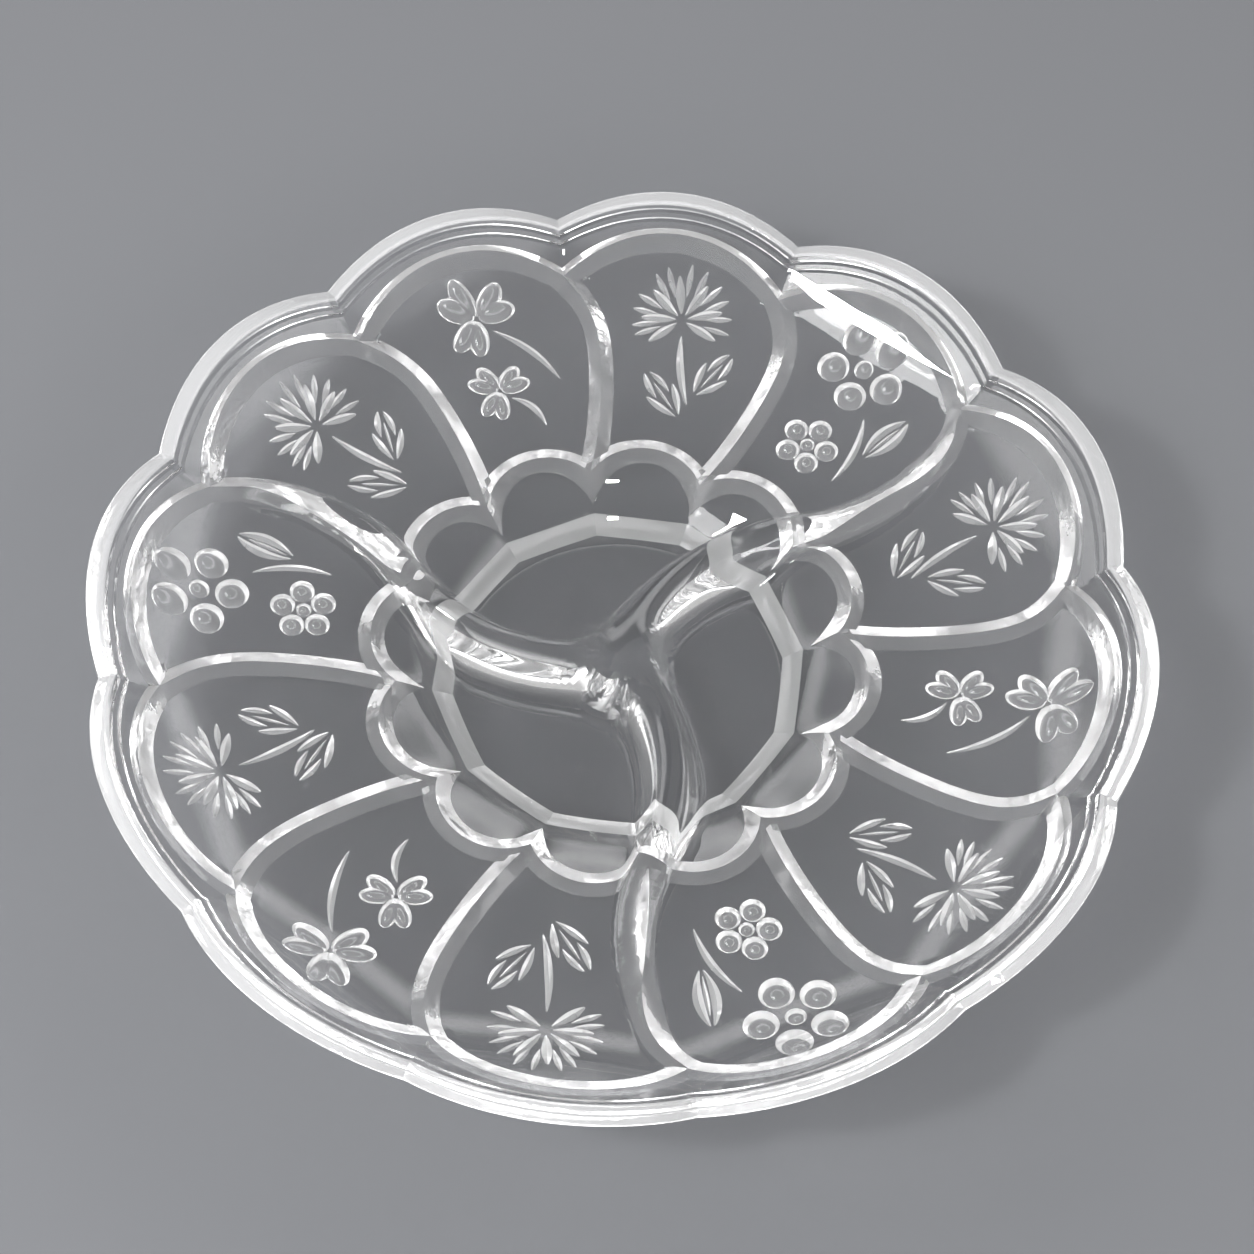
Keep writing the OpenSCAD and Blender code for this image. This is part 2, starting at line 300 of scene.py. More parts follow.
def groove_depth(r, angle):
    """Depth of the V grooves round the lobes, along the petal lines and along the petals' outer arcs, and of
    the fine lines that run beside the rim."""
    middle = from_middle(angle)
    s, t = r * np.cos(middle), r * np.sin(middle)
    lobe_cut = np.where(r > WELL_NOTCH_R - 2 * GROOVE_HALF, mitre(np.hypot(s - LOBE_S, t) - LOBE_R), 0)
    line_cut = mitre(r * from_notch(angle - line_side(r)) * line_cosine(r))
    line_cut = np.where((r > WELL_NOTCH_R) & (r < CREASE_R + GROOVE_HALF), line_cut, 0)
    up = (s - CREASE_S) / np.cos(RIM_LEAN) - ARC_RISE + ARC_R
    arc_cut = mitre(np.hypot(up, t) - ARC_R) / np.cos(RIM_LEAN)
    arc_cut = np.where(s > CREASE_S - GROOVE_HALF, arc_cut, 0)
    deep = np.maximum(np.maximum(lobe_cut, line_cut), arc_cut)
    edge = rim_edge(middle, 0, -RIM_TILT)[0]
    for line in RIM_LINES:
        fine = RIM_LINE_D * np.maximum(1 - np.abs(edge - line - r) / RIM_LINE_HALF, 0)
        deep = np.maximum(deep, fine)
    return deep


def tray_under(r, angle):
    """Underside of the tray: flat base, bevel plane, scooped flutes that loft from the straight bevel edge to
    the round lobe edge, the field and the rim panels, with the V grooves cut upwards."""
    middle = from_middle(angle)
    s = r * np.cos(middle)
    bevel_edge = BEVEL_S / np.cos(middle)
    lobe = lobe_edge(middle, 0)
    climb = np.clip((r - bevel_edge) / (lobe - bevel_edge), 0, 1)
    scoop = FLUTE_SCOOP * np.cos(np.pi / 2 * middle / HALF_PETAL) * 4 * climb * (1 - climb)
    flute = BEVEL_H + (field_under(lobe) - BEVEL_H) * climb + scoop
    bevel = np.clip((s - BASE_S) / BEVEL_W, 0, 1) * BEVEL_H
    base = np.where(r < bevel_edge, bevel, np.where(r < lobe, flute, plain_under(r, angle)))
    return base + groove_depth(r, angle)


# Columns in a petal, and those between the keel of a petal line and each edge of its groove
PETAL_COLUMNS = 36
SIDE_COLUMNS = 2
COLUMNS = PETAL_COLUMNS * PETALS
# Rows of the underside between one ring and the next: base, bevel, flutes, both sides of the lobe groove,
# field, rim panel, both sides of the arc groove, panel again, the two fine lines, and the rim
UNDER_ROWS = (3, 3, 8, 2, 2, 24, 4, 2, 2, 2, 1, 1, 1, 1, 1, 2)
UNDER_START_R = 4.0
LEAST_STEP = 0.12
# Rows of the top between one ring and the next, from the rim inwards, and the rings inside its fold
TOP_ROWS = (8, 6, 12, 19, 6, 6, 8, 22)
TOP_RINGS = (106.0, 67.0, 60.0, 52.0, 42.0, 2.0)
FOLD_HALF = 3.0
# Radii between which the top's columns let go of the ridges, and how much they crowd beside them
LET_GO = (113.0, 124.0)
CROWD = 0.5
# Shares of half a petal between which the underside's columns let go of the petal lines
LINE_HOLD = (0.2, 1.0)
SETTLE_ROUNDS = 5
ROUND_ROWS = 6
CLEAR_FINISH, GROOVE_FINISH, RIM_FINISH, BEVEL_FINISH = 0, 1, 2, 3
GROOVE_LEAST = 0.3
BEVEL_ROWS = slice(UNDER_ROWS[0], sum(UNDER_ROWS[:2]))


def row_places(counts):
    """For each row, the station before it and its share of the way to the next station."""
    station = np.repeat(np.arange(len(counts)), counts)
    share = np.concatenate([np.arange(count) / count for count in counts])
    return np.append(station, len(counts) - 1), np.append(share, 1.0)


def between(stations, station, share):
    """Radii of all rows and columns: each row lies between two stations, which differ by column."""
    rows = np.arange(len(station))
    low, high = stations[station, rows], stations[station + 1, rows]
    return low + (high - low) * share[:, None]


def groove_columns(r):
    """Column angles on the underside: two columns on each side of every petal line keep to the edge and the
    middle of its groove, and the rest are even. Near a line they follow its bow."""
    column = np.arange(COLUMNS) % PETAL_COLUMNS
    notch = (np.arange(COLUMNS) // PETAL_COLUMNS) * PETAL_TURN
    last = PETAL_COLUMNS - SIDE_COLUMNS
    inside = np.clip(r, WELL_NOTCH_R, CREASE_R)
    half = GROOVE_HALF / (inside * line_cosine(inside))
    even = half + (column - SIDE_COLUMNS) / (last - SIDE_COLUMNS) * (PETAL_TURN - 2 * half)
    after = half * column / SIDE_COLUMNS
    before = PETAL_TURN - half * (PETAL_COLUMNS - column) / SIDE_COLUMNS
    turn = np.where(column < SIDE_COLUMNS, after, np.where(column > last, before, even))
    follow = 1 - smooth_step(*LINE_HOLD, np.minimum(turn, PETAL_TURN - turn) / HALF_PETAL)
    return notch + turn + follow * line_side(r)


def divider_columns(r):
    """Column angles on the top: they turn with the dividers' S and crowd beside them, and match the
    underside's columns at the rim."""
    rim = groove_columns(np.full(COLUMNS, RIM_TIP_R))
    hold = 1 - smooth_step(*LET_GO, r)
    third = FULL_TURN / DIVIDERS
    crowd = CROWD / FULL_TURN * np.sin(FULL_TURN * (rim - FIRST_DIVIDER) / third)
    return rim + hold * (divider_angle_at(r) - third * crowd)


def place(r, angle, z):
    """Points in space from radius, angle and height."""
    return np.stack([r * np.cos(angle), r * np.sin(angle), z], axis=-1)


def underside_rows():
    """Underside from the middle to the rim: rows keep to the base, bevel, lobes, grooves and crease."""
    station, share = row_places(UNDER_ROWS)
    r = np.full((len(station), COLUMNS), WELL_NOTCH_R)
    for _ in range(SETTLE_ROUNDS):
        angle = groove_columns(r)
        middle = from_middle(angle)
        edges = [
            np.full_like(middle, UNDER_START_R),
            BASE_S / np.cos(middle),
            BEVEL_S / np.cos(middle),
            lobe_edge(middle, -GROOVE_HALF),
            lobe_edge(middle, 0),
            lobe_edge(middle, GROOVE_HALF),
            CREASE_S / np.cos(middle),
            petal_arc_edge(middle, -GROOVE_HALF),
            petal_arc_edge(middle, 0),
            petal_arc_edge(middle, GROOVE_HALF),
        ]
        rim = rim_edge(middle, 0, -RIM_TILT)[0]
        for line in sorted(RIM_LINES, reverse=True):
            edges += [rim - line - RIM_LINE_HALF, rim - line, rim - line + RIM_LINE_HALF]
        edges.append(rim - 2 * RIM_ROUND)
        for k in range(1, len(edges)):
            edges[k] = np.maximum(edges[k], edges[k - 1] + LEAST_STEP)
        r = between(np.stack(edges), station, share)
    angle = groove_columns(r)
    return place(r, angle, tray_under(r, angle))


def rim_rows():
    """Rim top: the outer edge, a flat that climbs a little inwards, and the inner edge. Each edge is a
    parabola through its corner's two tangent points."""
    angle = groove_columns(np.full(COLUMNS, RIM_TIP_R))
    middle = from_middle(angle)
    up = np.stack([1 / np.cos(middle), np.full(COLUMNS, RIM_SLOPE)])
    up = up / np.hypot(*up) * RIM_ROUND
    outer = np.stack(rim_edge(middle, 0, -RIM_TILT))
    inner = np.stack(rim_edge(middle, RIM_RISE, RIM_TILT))
    across = inner - outer
    step = across / np.hypot(*across) * RIM_ROUND
    q = np.linspace(0, 1, ROUND_ROWS)[:, None, None]
    outer_round = (1 - q) ** 2 * (outer - up) + 2 * q * (1 - q) * outer + q ** 2 * (outer + step)
    inner_round = (1 - q) ** 2 * (inner - step) + 2 * q * (1 - q) * inner + q ** 2 * (inner - up)
    flat = outer + across * np.array([1 / 3, 2 / 3])[:, None, None]
    rows = np.concatenate([outer_round, flat, inner_round])
    return place(rows[:, 0], angle[None], rows[:, 1])


def top_rows():
    """Top from the rim to the middle: rows keep to the fold of the rim panels and the rounds of the well."""
    station, share = row_places(TOP_ROWS)
    station, share = station[1:], share[1:]
    r = np.full((len(station), COLUMNS), RIM_TIP_R)
    for _ in range(SETTLE_ROUNDS):
        angle = divider_columns(r)
        middle = from_middle(angle)
        fold = (field_top(0) - rim_plane(0, RIM_RISE)) / (RIM_SLOPE * np.cos(middle) - FIELD_SLOPE)
        rim = rim_edge(middle, RIM_RISE, RIM_TILT)[0]
        edges = [rim - RIM_ROUND, fold + FOLD_HALF, fold - FOLD_HALF]
        edges += [np.full_like(middle, ring) for ring in TOP_RINGS]
        r = between(np.stack(edges), station, share)
    angle = divider_columns(r)
    return place(r, angle, tray_top(r, angle))


def mesh_object(name, points, faces):
    """A mesh object in metres from points in millimetres."""
    mesh = bpy.data.meshes.new(name)
    mesh.from_pydata((np.asarray(points) * MM).tolist(), [], faces)
    mesh.update()
    piece = bpy.data.objects.new(name, mesh)
    bpy.context.scene.collection.objects.link(piece)
    return piece


def ring_faces(rows, columns):
    """Quads between closed rings of points, and a fan at each end to a pole that follows the rings."""
    i, j = np.meshgrid(np.arange(rows - 1), np.arange(columns), indexing="ij")
    n = (j + 1) % columns
    quads = np.stack([i * columns + j, i * columns + n, (i + 1) * columns + n, (i + 1) * columns + j], -1)
    j, n = np.arange(columns), (np.arange(columns) + 1) % columns
    first = np.stack([np.full(columns, rows * columns), n, j], -1)
    end = (rows - 1) * columns
    last = np.stack([end + j, end + n, np.full(columns, rows * columns + 1)], -1)
    return quads.reshape(-1, 4).tolist() + first.tolist() + last.tolist()


def closed_rings(name, rings, first_pole, last_pole):
    """A closed piece from rings of points (rows by columns) and its two poles."""
    rows, columns = rings.shape[:2]
    points = np.concatenate([rings.reshape(-1, 3), [first_pole, last_pole]])
    return mesh_object(name, points, ring_faces(rows, columns))


def glass_shell():
    """The whole tray as one closed shell: underside, rim and top in one run of rings. The groove facets, the
    bevel and the rim's top get finishes of their own, from the mean groove depth of each quad or from its
    row."""
    under, rim, top = underside_rows(), rim_rows(), top_rows()
    centre = tray_top(np.zeros(1), np.zeros(1))[0]
    shell = closed_rings("pressed_tray", np.concatenate([under, rim, top]), (0, 0, 0), (0, 0, centre))
    depth = groove_depth(np.hypot(under[..., 0], under[..., 1]), np.arctan2(under[..., 1], under[..., 0]))
    depth = depth[:-1] + depth[1:]
    depth = (depth + np.roll(depth, -1, axis=1)) / 4
    facets = np.where(depth > GROOVE_LEAST, GROOVE_FINISH, CLEAR_FINISH)
    facets[BEVEL_ROWS] = BEVEL_FINISH
    finish = np.zeros(len(shell.data.polygons), np.int32)
    finish[:facets.size] = facets.ravel()
    finish[len(under) * COLUMNS:(len(under) + len(rim) - 1) * COLUMNS] = RIM_FINISH
    shell.data.polygons.foreach_set("material_index", finish)
    return shell


# Cut flowers: places are (distance, side) in millimetres in a petal's own frame, sides counted anticlockwise,
# and turns are clockwise degrees from straight outwards, seen from above
# Reach of the cutters below the glass, and depth of a mitre cut over its half width and of a round dimple over
# its width
CUT_SINK = 0.6
MITRE_STEEP = 0.75
DIMPLE_STEEP = 0.29
MITRE_ROWS = 11
DIMPLE_ROWS = 9
DIMPLE_COLUMNS = 32
STEM_WIDTH = 2.2
STEM_BOW = 2.6
# Length from base to tip of a three-pointed leaf as drawn, and its strokes: start, end, width and bow
TREFOIL_LENGTH = 18
TREFOIL_STROKES = (
    ((0.2, 0.2), (12.0, 4.6), 2.2, 0.4),
    ((0.2, -0.2), (11.5, -4.8), 2.2, -0.4),
    ((8.6, 2.0), (18.8, 0.5), 2.0, 0.7),
    ((8.3, -2.2), (18.4, -0.6), 1.9, -0.7),
    ((2.5, 0.0), (15.0, 0.0), 1.0, 0.0),
)
# Cornflower: the head's centre; the florets' turns, start and end from the centre, and width; the stem's
# turn and start from the centre, its foot, width and bow; each leaf's base and tip
CORNFLOWER_HEAD = (118.0, -4.5)
FLORETS = (
    ("long", (-133, -93, -51, -10, 33, 74, 119), 1.0, 13.4, 2.9),
    ("short", (-117, -104, -83, -66, -38, -23, 5, 24, 46, 63, 84, 104), 6.4, 16.2, 1.9),
)
CORNFLOWER_STEM = (172, 4.0, (87.5, -10.0), 2.4, -1.4)
CORNFLOWER_LEAVES = (
    ("leaf_a", (92.5, -11.0), (107.0, -21.0)),
    ("leaf_b", (84.5, -7.5), (98.5, 4.0)),
)
# Clovers: centre, leaf length, foot of the stem, and the turn at which the stem leaves the centre; and the
# turns of their leaves
CLOVERS = (
    ("large", (122.8, -3.5), 11.8, (93.4, -20.7), 151),
    ("small", (98.0, -1.4), 9.4, (81.0, -10.4), 152),
)
CLOVER_LEAVES = (72, -38, -148)
# Half a heart leaf: the turns of its centre and of its long axis from the leaf's middle; then, as shares of
# the leaf's length, its distance from the clover's centre, its width, its depth and the start of the stem
HEART_TURN = 17
HEART_LEAN = 19
HEART_OUT = 0.56
HEART_WIDE = 0.57
HEART_DEEP = 0.21
CLOVER_STEM_OUT = 0.35
# Forget-me-nots: centre, radius of the ring of dimples, dimple and eye diameters, and the first dimple's turn
FORGET_ME_NOTS = (
    ("large", (122.5, -1.0), 9.4, 9.8, 5.8, -44),
    ("small", (92.3, -1.4), 6.1, 7.1, 4.4, 4),
)
FORGET_DIMPLES = 5
# Their stem, leaf side and leaf vein: start, end and width
FORGET_STEM = ((110.5, -9.5), (84.7, -14.2), STEM_WIDTH)
FORGET_LEAF = ((97.5, -17.5), (116.5, -22.0), 2.9)
FORGET_VEIN = ((99.5, -18.0), (113.0, -21.3), 1.3)
FORGET_LEAF_BOW = 2.4


def heading(turn):
    """Unit step in a petal's frame for a clockwise turn from straight outwards."""
    return np.array([np.cos(np.radians(turn)), -np.sin(np.radians(turn))])


def on_petal(plan, height, petal):
    """Points on a petal's underside: plan places turned to the petal, heights above the plain underside."""
    r = np.hypot(plan[..., 0], plan[..., 1])
    angle = np.arctan2(plan[..., 1], plan[..., 0]) + petal
    return place(r, angle, plain_under(r, angle) + height)


def mitre_cut(name, start, end, width, petal, bow=0.0, lean=1.12):
    """Cutter of one mitre cut, a boat with two flat sides that meet in a keel. Its path is a parabola from
    start to end that bows sideways, and its half width and depth swell as a sine of a power of the way, so
    that its widest place leans towards the end."""
    start, end = np.asarray(start, float), np.asarray(end, float)
    q = np.linspace(0, 1, MITRE_ROWS + 2)[1:-1, None]
    run = (end - start) / np.hypot(*(end - start))
    aside = np.array([-run[1], run[0]])
    path = start + (end - start) * q + aside * bow * 4 * q * (1 - q)
    swell = np.sin(np.pi * q ** lean)
    half = width / 2 * swell
    deep = half * MITRE_STEEP
    wide = half * (1 + CUT_SINK / deep)
    plan = np.stack([path + aside * wide, path, path - aside * wide], axis=1)
    height = np.stack([np.full_like(deep, -CUT_SINK), deep, np.full_like(deep, -CUT_SINK)], axis=1)[..., 0]
    rings = on_petal(plan, height, petal)
    ends = on_petal(np.stack([start, end]), np.full(2, -CUT_SINK), petal)
    cutter = closed_rings(name, rings, ends[0], ends[1])
    cutter.data.materials.append(flower_glass)
    return cutter


def dimple_cut(name, centre, length, width, depth, turn, petal):
    """Cutter of one ground dimple: the cap of a ball, drawn out one way to an oval, and closed a little below
    the glass."""
    half = width / 2
    deep, sink = depth / half, CUT_SINK / half
    ball = (1 + deep ** 2) / (2 * deep)
    brim = np.sqrt(ball ** 2 - (ball - deep - sink) ** 2)
    out = np.sin(np.linspace(0, np.pi / 2, DIMPLE_ROWS + 1))[1:] * brim
    a = np.linspace(0, FULL_TURN, DIMPLE_COLUMNS, endpoint=False)
    along, aside = heading(turn), heading(turn + 90)
    oval = along * np.cos(a)[:, None] * length / 2 + aside * np.sin(a)[:, None] * half
    plan = np.asarray(centre, float) + out[:, None, None] * oval[None]
    rise = (np.sqrt(ball ** 2 - out ** 2) - ball + deep) * half
    rings = on_petal(plan, np.broadcast_to(rise[:, None], plan.shape[:2]), petal)
    poles = on_petal(np.stack([centre, centre]).astype(float), np.array([depth, -CUT_SINK]), petal)
    cutter = closed_rings(name, rings, poles[0], poles[1])
    cutter.data.materials.append(dimple_glass)
    return cutter


def trefoil_leaf(name, base, tip, petal):
    """Cutters of a three-pointed leaf: two long cuts from its foot to the side points, two from the notches
    to the middle point, and a thin middle vein. Its strokes are stretched from base to tip."""
    base, tip = np.asarray(base, float), np.asarray(tip, float)
    along = (tip - base) / TREFOIL_LENGTH
    aside = np.array([-along[1], along[0]])
    cuts = []
    for k, (start, end, width, bow) in enumerate(TREFOIL_STROKES):
        start = base + along * start[0] + aside * start[1]
        end = base + along * end[0] + aside * end[1]
        cuts.append(mitre_cut(f"{name}_{k}", start, end, width, petal, bow))
    return cuts


def cornflower(name, petal):
    """Cutters of a cornflower: seven long florets round the centre, twelve short ones in pairs between them,
    a stem and two three-pointed leaves."""
    head = np.array(CORNFLOWER_HEAD)
    cuts = []
    for size, turns, start, end, width in FLORETS:
        for k, turn in enumerate(turns):
            out = heading(turn)
            cuts.append(mitre_cut(f"{name}_{size}_{k}", head + out * start, head + out * end, width, petal))
    turn, start, foot, width, bow = CORNFLOWER_STEM
    cuts.append(mitre_cut(f"{name}_stem", head + heading(turn) * start, foot, width, petal, bow, lean=1.0))
    for leaf, base, tip in CORNFLOWER_LEAVES:
        cuts += trefoil_leaf(f"{name}_{leaf}", base, tip, petal)
    return cuts


def clover(name, petal):
    """Cutters of two clovers: three heart leaves each, made of two oval dimples that lean apart, and a bowed
    stem."""
    cuts = []
    for size, head, leaf, foot, stem_turn in CLOVERS:
        head = np.array(head)
        for k, turn in enumerate(CLOVER_LEAVES):
            for side in (-1, 1):
                half = f"{name}_{size}_{k}_{side + 1}"
                centre = head + heading(turn + side * HEART_TURN) * leaf * HEART_OUT
                lean = turn + side * HEART_LEAN
                cuts.append(dimple_cut(half, centre, leaf, leaf * HEART_WIDE, leaf * HEART_DEEP, lean, petal))
        top = head + heading(stem_turn) * leaf * CLOVER_STEM_OUT
        cuts.append(mitre_cut(f"{name}_{size}_stem", top, foot, STEM_WIDTH, petal, STEM_BOW, lean=1.0))
    return cuts


def forget_me_not(name, petal):
    """Cutters of two forget-me-nots, five round dimples round a smaller one each, and of the one bowed stem
    and the one plain pointed leaf that they share."""
    cuts = []
    for size, head, ring, wide, eye, first in FORGET_ME_NOTS:
        head = np.array(head)
        for k in range(FORGET_DIMPLES):
            centre = head + heading(first + 360 / FORGET_DIMPLES * k) * ring
            cuts.append(dimple_cut(f"{name}_{size}_{k}", centre, wide, wide, wide * DIMPLE_STEEP, 0, petal))
        cuts.append(dimple_cut(f"{name}_{size}_eye", head, eye, eye, eye * DIMPLE_STEEP, 0, petal))
    cuts.append(mitre_cut(f"{name}_stem", *FORGET_STEM, petal, STEM_BOW, lean=1.0))
    for side in (-1, 1):
        cuts.append(mitre_cut(f"{name}_leaf_{side + 1}", *FORGET_LEAF, petal, side * FORGET_LEAF_BOW))
    cuts.append(mitre_cut(f"{name}_vein", *FORGET_VEIN, petal))
    return cuts


def carve(shell, cutters):
    """Cuts all the flowers out of the shell and keeps the result as the shell's own mesh."""
    group = bpy.data.collections.new("cutters")
    bpy.context.scene.collection.children.link(group)
    for cutter in cutters:
        bpy.context.scene.collection.objects.unlink(cutter)
        group.objects.link(cutter)
    cut = shell.modifiers.new("flowers", "BOOLEAN")
    cut.operation = "DIFFERENCE"
    cut.solver = "MANIFOLD"
    cut.material_mode = "TRANSFER"
    cut.operand_type = "COLLECTION"
    cut.collection = group
    carved = bpy.data.meshes.new_from_object(shell.evaluated_get(bpy.context.evaluated_depsgraph_get()))
    shell.modifiers.clear()
    shell.data = carved
    for cutter in cutters:
        bpy.data.meshes.remove(cutter.data)
    bpy.data.collections.remove(group)


def crisp_edges(piece, least):
    """Smooth shading, except across edges that turn by more than least."""
    piece.data.shade_smooth()
    piece.data.set_sharp_from_angle(angle=least)


def linear(hex_code):
    """Linear colour from an sRGB hex value."""
    srgb = np.array([int(hex_code[k:k + 2], 16) for k in (1, 3, 5)]) / 255
    return (*np.where(srgb <= 0.04045, srgb / 12.92, ((srgb + 0.055) / 1.055) ** 2.4), 1.0)


def add(tree, kind, settings=None, links=None):
    """Adds a node, sets its properties or input values, and links its inputs to other nodes' outputs."""
    node = tree.nodes.new(kind)
    for key, value in (settings or {}).items():
        if isinstance(key, str) and hasattr(node, key):
            setattr(node, key, value)
        else:
            node.inputs[key].default_value = value
    for key, output in (links or {}).items():
        tree.links.new(output, node.inputs[key])
    return node


def new_material(name):
    """An empty node material and its output node."""
    material = bpy.data.materials.new(name)
    material.use_nodes = True
    material.node_tree.nodes.clear()
    return material, material.node_tree, material.node_tree.nodes.new("ShaderNodeOutputMaterial")


def glass_finish(name, rough, clear, ripple):
    """Colourless soda glass with one finish: how rough, how clear, and its ripple, which is noise through a
    bump: the noise's size in millimetres, the bump's strength and its depth in millimetres."""
    size, strength, depth = ripple
    material, tree, out = new_material(name)
    spot = add(tree, "ShaderNodeTexCoord").outputs["Object"]
    noise = add(tree, "ShaderNodeTexNoise", {"Scale": 1 / (size * MM), "Detail": 2.0}, {"Vector": spot})
    settings = {"Strength": strength, "Distance": depth * MM}
    bump = add(tree, "ShaderNodeBump", settings, {"Height": noise.outputs["Fac"]})
    shader = add(tree, "ShaderNodeBsdfPrincipled", {
        "Base Color": linear("#FEFEFE"),
        "Roughness": rough,
        "IOR": 1.52,
        "Transmission Weight": clear,
    }, {"Normal": bump.outputs["Normal"]})
    tree.links.new(shader.outputs["BSDF"], out.inputs["Surface"])
    return material


def pale_paper():
    """Matt pale grey paper of a studio sweep."""
    material, tree, out = new_material("studio_paper_pale")
    shader = add(tree, "ShaderNodeBsdfPrincipled", {"Base Color": linear("#5C5D60"), "Roughness": 0.9})
    tree.links.new(shader.outputs["BSDF"], out.inputs["Surface"])
    return material


# Fire-polished pressed glass: clear and bright, with the faint slow ripple that the mould leaves
clear_glass = glass_finish("soda_glass_fire_polished", rough=0.0, clear=1.0, ripple=(14, 0.15, 0.1))
# Facets of the pressed grooves: dull polish, so that one side mirrors white and the other stays see-through
groove_glass = glass_finish("soda_glass_groove_dull", rough=0.08, clear=0.92, ripple=(3, 0.5, 0.2))
# Bevel round the base, ground flat: an even milky white
bevel_glass = glass_finish("soda_glass_bevel_ground", rough=0.12, clear=0.72, ripple=(3, 0.3, 0.1))
# Facets of the cut flowers: satin, so they catch light from all sides and look white
flower_glass = glass_finish("soda_glass_cut_satin", rough=0.08, clear=0.74, ripple=(3, 0.15, 0.05))
# Ground dimples of the flowers, nearly polished: clear in the middle and milky where they are steep
dimple_glass = glass_finish("soda_glass_dimple_polished", rough=0.07, clear=0.88, ripple=(3, 0.1, 0.05))
# Ground top of the rim, polished over: white with a fine wobble
rim_glass = glass_finish("soda_glass_rim_ground", rough=0.08, clear=0.78, ripple=(4, 0.5, 0.4))

# Petals that carry each flower, by the angle of their middle line, in degrees
CORNFLOWER_PETALS = (15, -45, -105, -165, 135, 75)
CLOVER_PETALS = (-15, -135, 105)
FORGET_PETALS = (45, -75, 165)
CRISP_ANGLE = np.radians(18)

tray = glass_shell()
for finish in (clear_glass, groove_glass, rim_glass, bevel_glass, flower_glass, dimple_glass):
    tray.data.materials.append(finish)
cutters = []
for k, turn in enumerate(CORNFLOWER_PETALS):
    cutters += cornflower(f"cornflower_{k}", np.radians(turn))
for k, turn in enumerate(CLOVER_PETALS):
    cutters += clover(f"clover_{k}", np.radians(turn))
for k, turn in enumerate(FORGET_PETALS):
    cutters += forget_me_not(f"forget_{k}", np.radians(turn))
carve(tray, cutters)
crisp_edges(tray, CRISP_ANGLE)

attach(tray, "root")
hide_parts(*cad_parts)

FLOOR_HALF = 3000.0
FLOOR_GAP = 0.1
corners = np.array([(-1, -1), (1, -1), (1, 1), (-1, 1)]) * FLOOR_HALF
floor = mesh_object("studio_floor", np.column_stack([corners, np.full(4, -FLOOR_GAP)]), [(0, 1, 2, 3)])
floor.data.materials.append(pale_paper())


# Camera fitted to the photograph: it looks down at about 60 degrees, turned a little from the part's -Y side
CAMERA_TURN = np.radians(-9.904)
CAMERA_ELEVATION = np.radians(59.92)
CAMERA_ROLL = np.radians(2.381)
CAMERA_DISTANCE = 673.2
CAMERA_TARGET = (1.929, -2.036, 35.0)
SENSOR = 36.0
FOCAL_PIXELS = 2406.9
IMAGE_PIXELS = 1254


def turned(vector, turn):
    """A vector turned about Z."""
    x, y, z = vector
    return np.array([x * np.cos(turn) - y * np.sin(turn), x * np.sin(turn) + y * np.cos(turn), z])


def fitted_camera():
    """The camera's axes from its elevation and roll, turned into the part's frame with its target."""
    back = np.array([0, -np.cos(CAMERA_ELEVATION), np.sin(CAMERA_ELEVATION)])
    up = np.array([0, np.sin(CAMERA_ELEVATION), np.cos(CAMERA_ELEVATION)])
    right = np.array([1.0, 0, 0])
    across = right * np.cos(CAMERA_ROLL) + up * np.sin(CAMERA_ROLL)
    upright = up * np.cos(CAMERA_ROLL) - right * np.sin(CAMERA_ROLL)
    eye = np.array(CAMERA_TARGET) + back * CAMERA_DISTANCE
    columns = [turned(axis, CAMERA_TURN) for axis in (across, upright, back, eye * MM)]
    matrix = np.eye(4)
    matrix[:3] = np.stack(columns, axis=1)
    data = bpy.data.cameras.new("camera")
    data.sensor_width = SENSOR
    data.lens = SENSOR * (FOCAL_PIXELS / IMAGE_PIXELS)
    camera = bpy.data.objects.new("camera", data)
    camera.matrix_world = Matrix(matrix.tolist())
    bpy.context.scene.collection.objects.link(camera)
    bpy.context.scene.camera = camera


def softbox(name, turn, elevation, distance, width, height, glow, mirrored):
    """A rectangular soft light that faces the tray. Its turn is clockwise from straight behind the tray, as
    the camera sees it, and its power is its glow times pi times its area. One that is not mirrored lights
    the glass from within but makes no glare on it."""
    data = bpy.data.lights.new(name, "AREA")
    data.shape = "RECTANGLE"
    data.size, data.size_y = width * MM, height * MM
    data.energy = glow * np.pi * data.size * data.size_y
    lamp = bpy.data.objects.new(name, data)
    lamp.visible_glossy = mirrored
    turn, elevation = np.radians(turn), np.radians(elevation)
    away = np.array([np.sin(turn) * np.cos(elevation), np.cos(turn) * np.cos(elevation), np.sin(elevation)])
    side = np.array([-np.cos(turn), np.sin(turn), 0])
    columns = [turned(axis, CAMERA_TURN) for axis in (side, np.cross(away, side), away, away * distance * MM)]
    matrix = np.eye(4)
    matrix[:3] = np.stack(columns, axis=1)
    lamp.matrix_world = Matrix(matrix.tolist())
    bpy.context.scene.collection.objects.link(lamp)


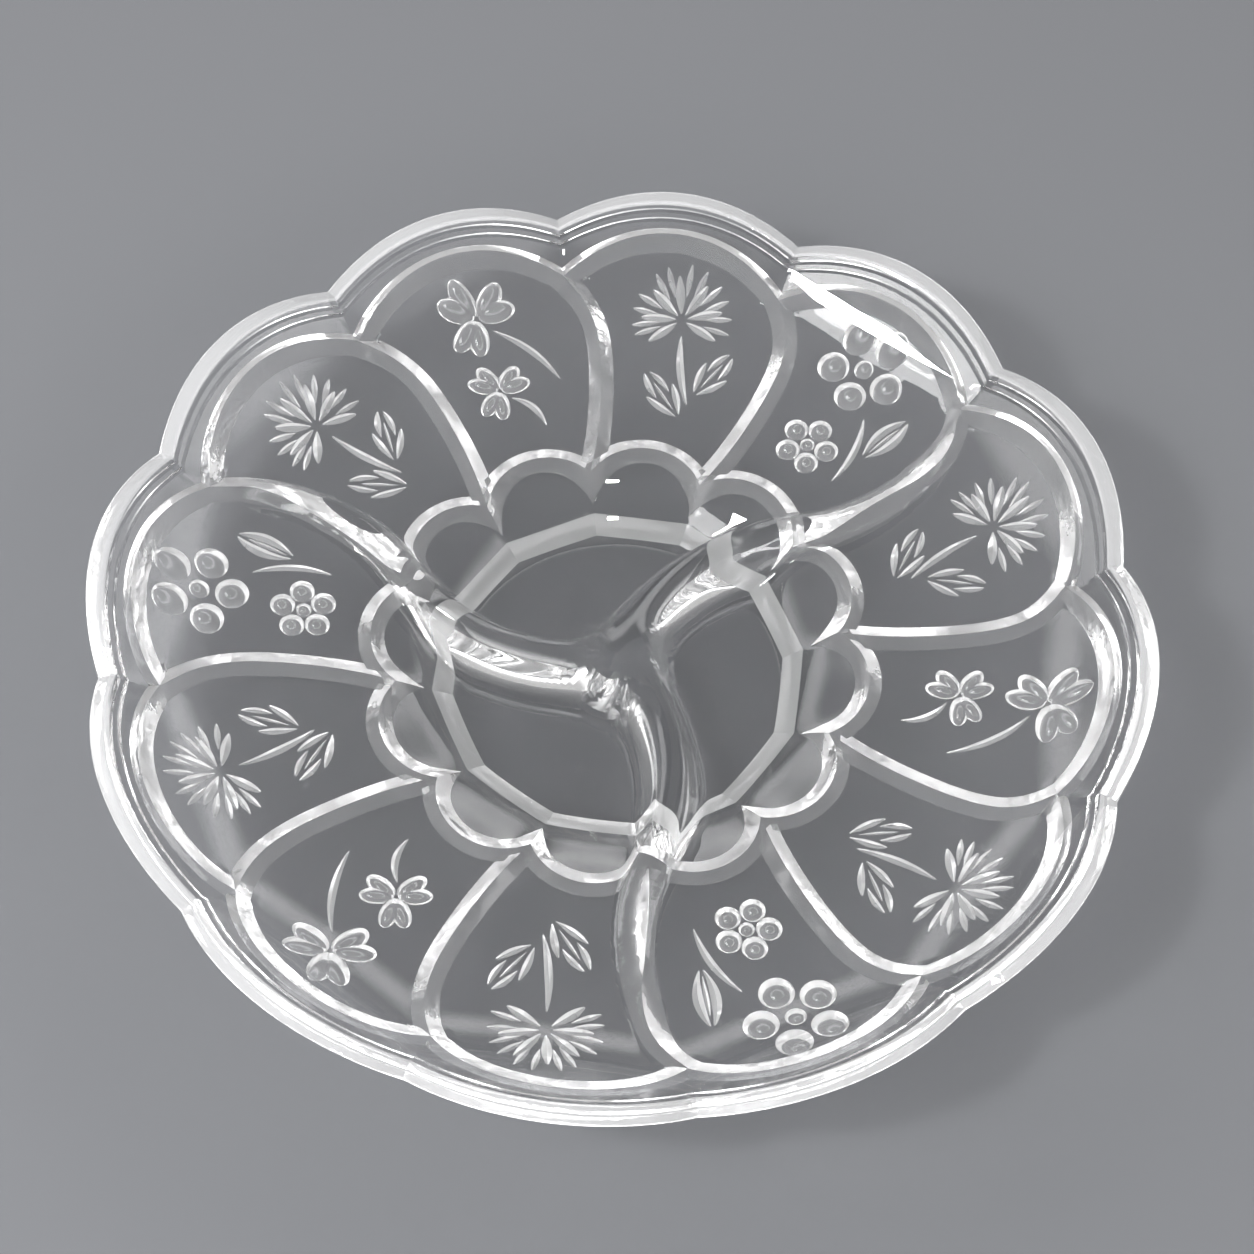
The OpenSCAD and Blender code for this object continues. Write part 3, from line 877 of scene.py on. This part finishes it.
# Glow of the room and of its band of light, and the heights at which the band begins and ends
ROOM_GLOW = 0.55
BAND_GLOW = 3.6
BAND_RISE = np.sin(np.radians([10, 26]))
BAND_FALL = np.sin(np.radians([48, 30]))
BOUNCES = 32
# Soft lights: turn and elevation in degrees, distance, width and height, glow, and whether it is mirrored
SOFT_LIGHTS = (
    ("window_light", -117, 51, 1300, 120, 160, 120, True),
    ("front_light", 172, 62, 1500, 90, 90, 120, True),
    ("key_light", -119, 50, 1500, 800, 600, 10, False),
)


def light_tent():
    """A dim white room with a brighter band of light all round it: the glow is the room's plus the band's
    times two smooth ramps over the height of the direction, one up and one down. It is not mirrored, so
    that the clear fields of the tray stay clear."""
    world = bpy.data.worlds.new("light_tent")
    world.use_nodes = True
    tree = world.node_tree
    direction = add(tree, "ShaderNodeTexCoord").outputs["Generated"]
    height = add(tree, "ShaderNodeSeparateXYZ", {}, {"Vector": direction}).outputs["Z"]
    ramps = [
        add(tree, "ShaderNodeMapRange", {
            "interpolation_type": "SMOOTHSTEP",
            "From Min": start,
            "From Max": end,
        }, {"Value": height}).outputs["Result"]
        for start, end in (BAND_RISE, BAND_FALL)
    ]
    band = add(tree, "ShaderNodeMath", {"operation": "MULTIPLY"}, {0: ramps[0], 1: ramps[1]}).outputs[0]
    settings = {"operation": "MULTIPLY_ADD", 1: BAND_GLOW, 2: ROOM_GLOW}
    glow = add(tree, "ShaderNodeMath", settings, {0: band}).outputs[0]
    tree.links.new(glow, tree.nodes["Background"].inputs["Strength"])
    tree.nodes["Background"].inputs["Color"].default_value = linear("#FFFFFF")
    bpy.context.scene.world = world
    world.cycles_visibility.glossy = False


def studio():
    """The tent, a large key light at the front left with a small window light before it, a small front light
    for the glints, and enough light bounces to find a way out of the glass."""
    light_tent()
    for soft_light in SOFT_LIGHTS:
        softbox(*soft_light)
    scene = bpy.context.scene
    scene.view_settings.view_transform = "Standard"
    scene.cycles.max_bounces = BOUNCES
    scene.cycles.glossy_bounces = BOUNCES
    scene.cycles.transmission_bounces = BOUNCES


fitted_camera()
studio()
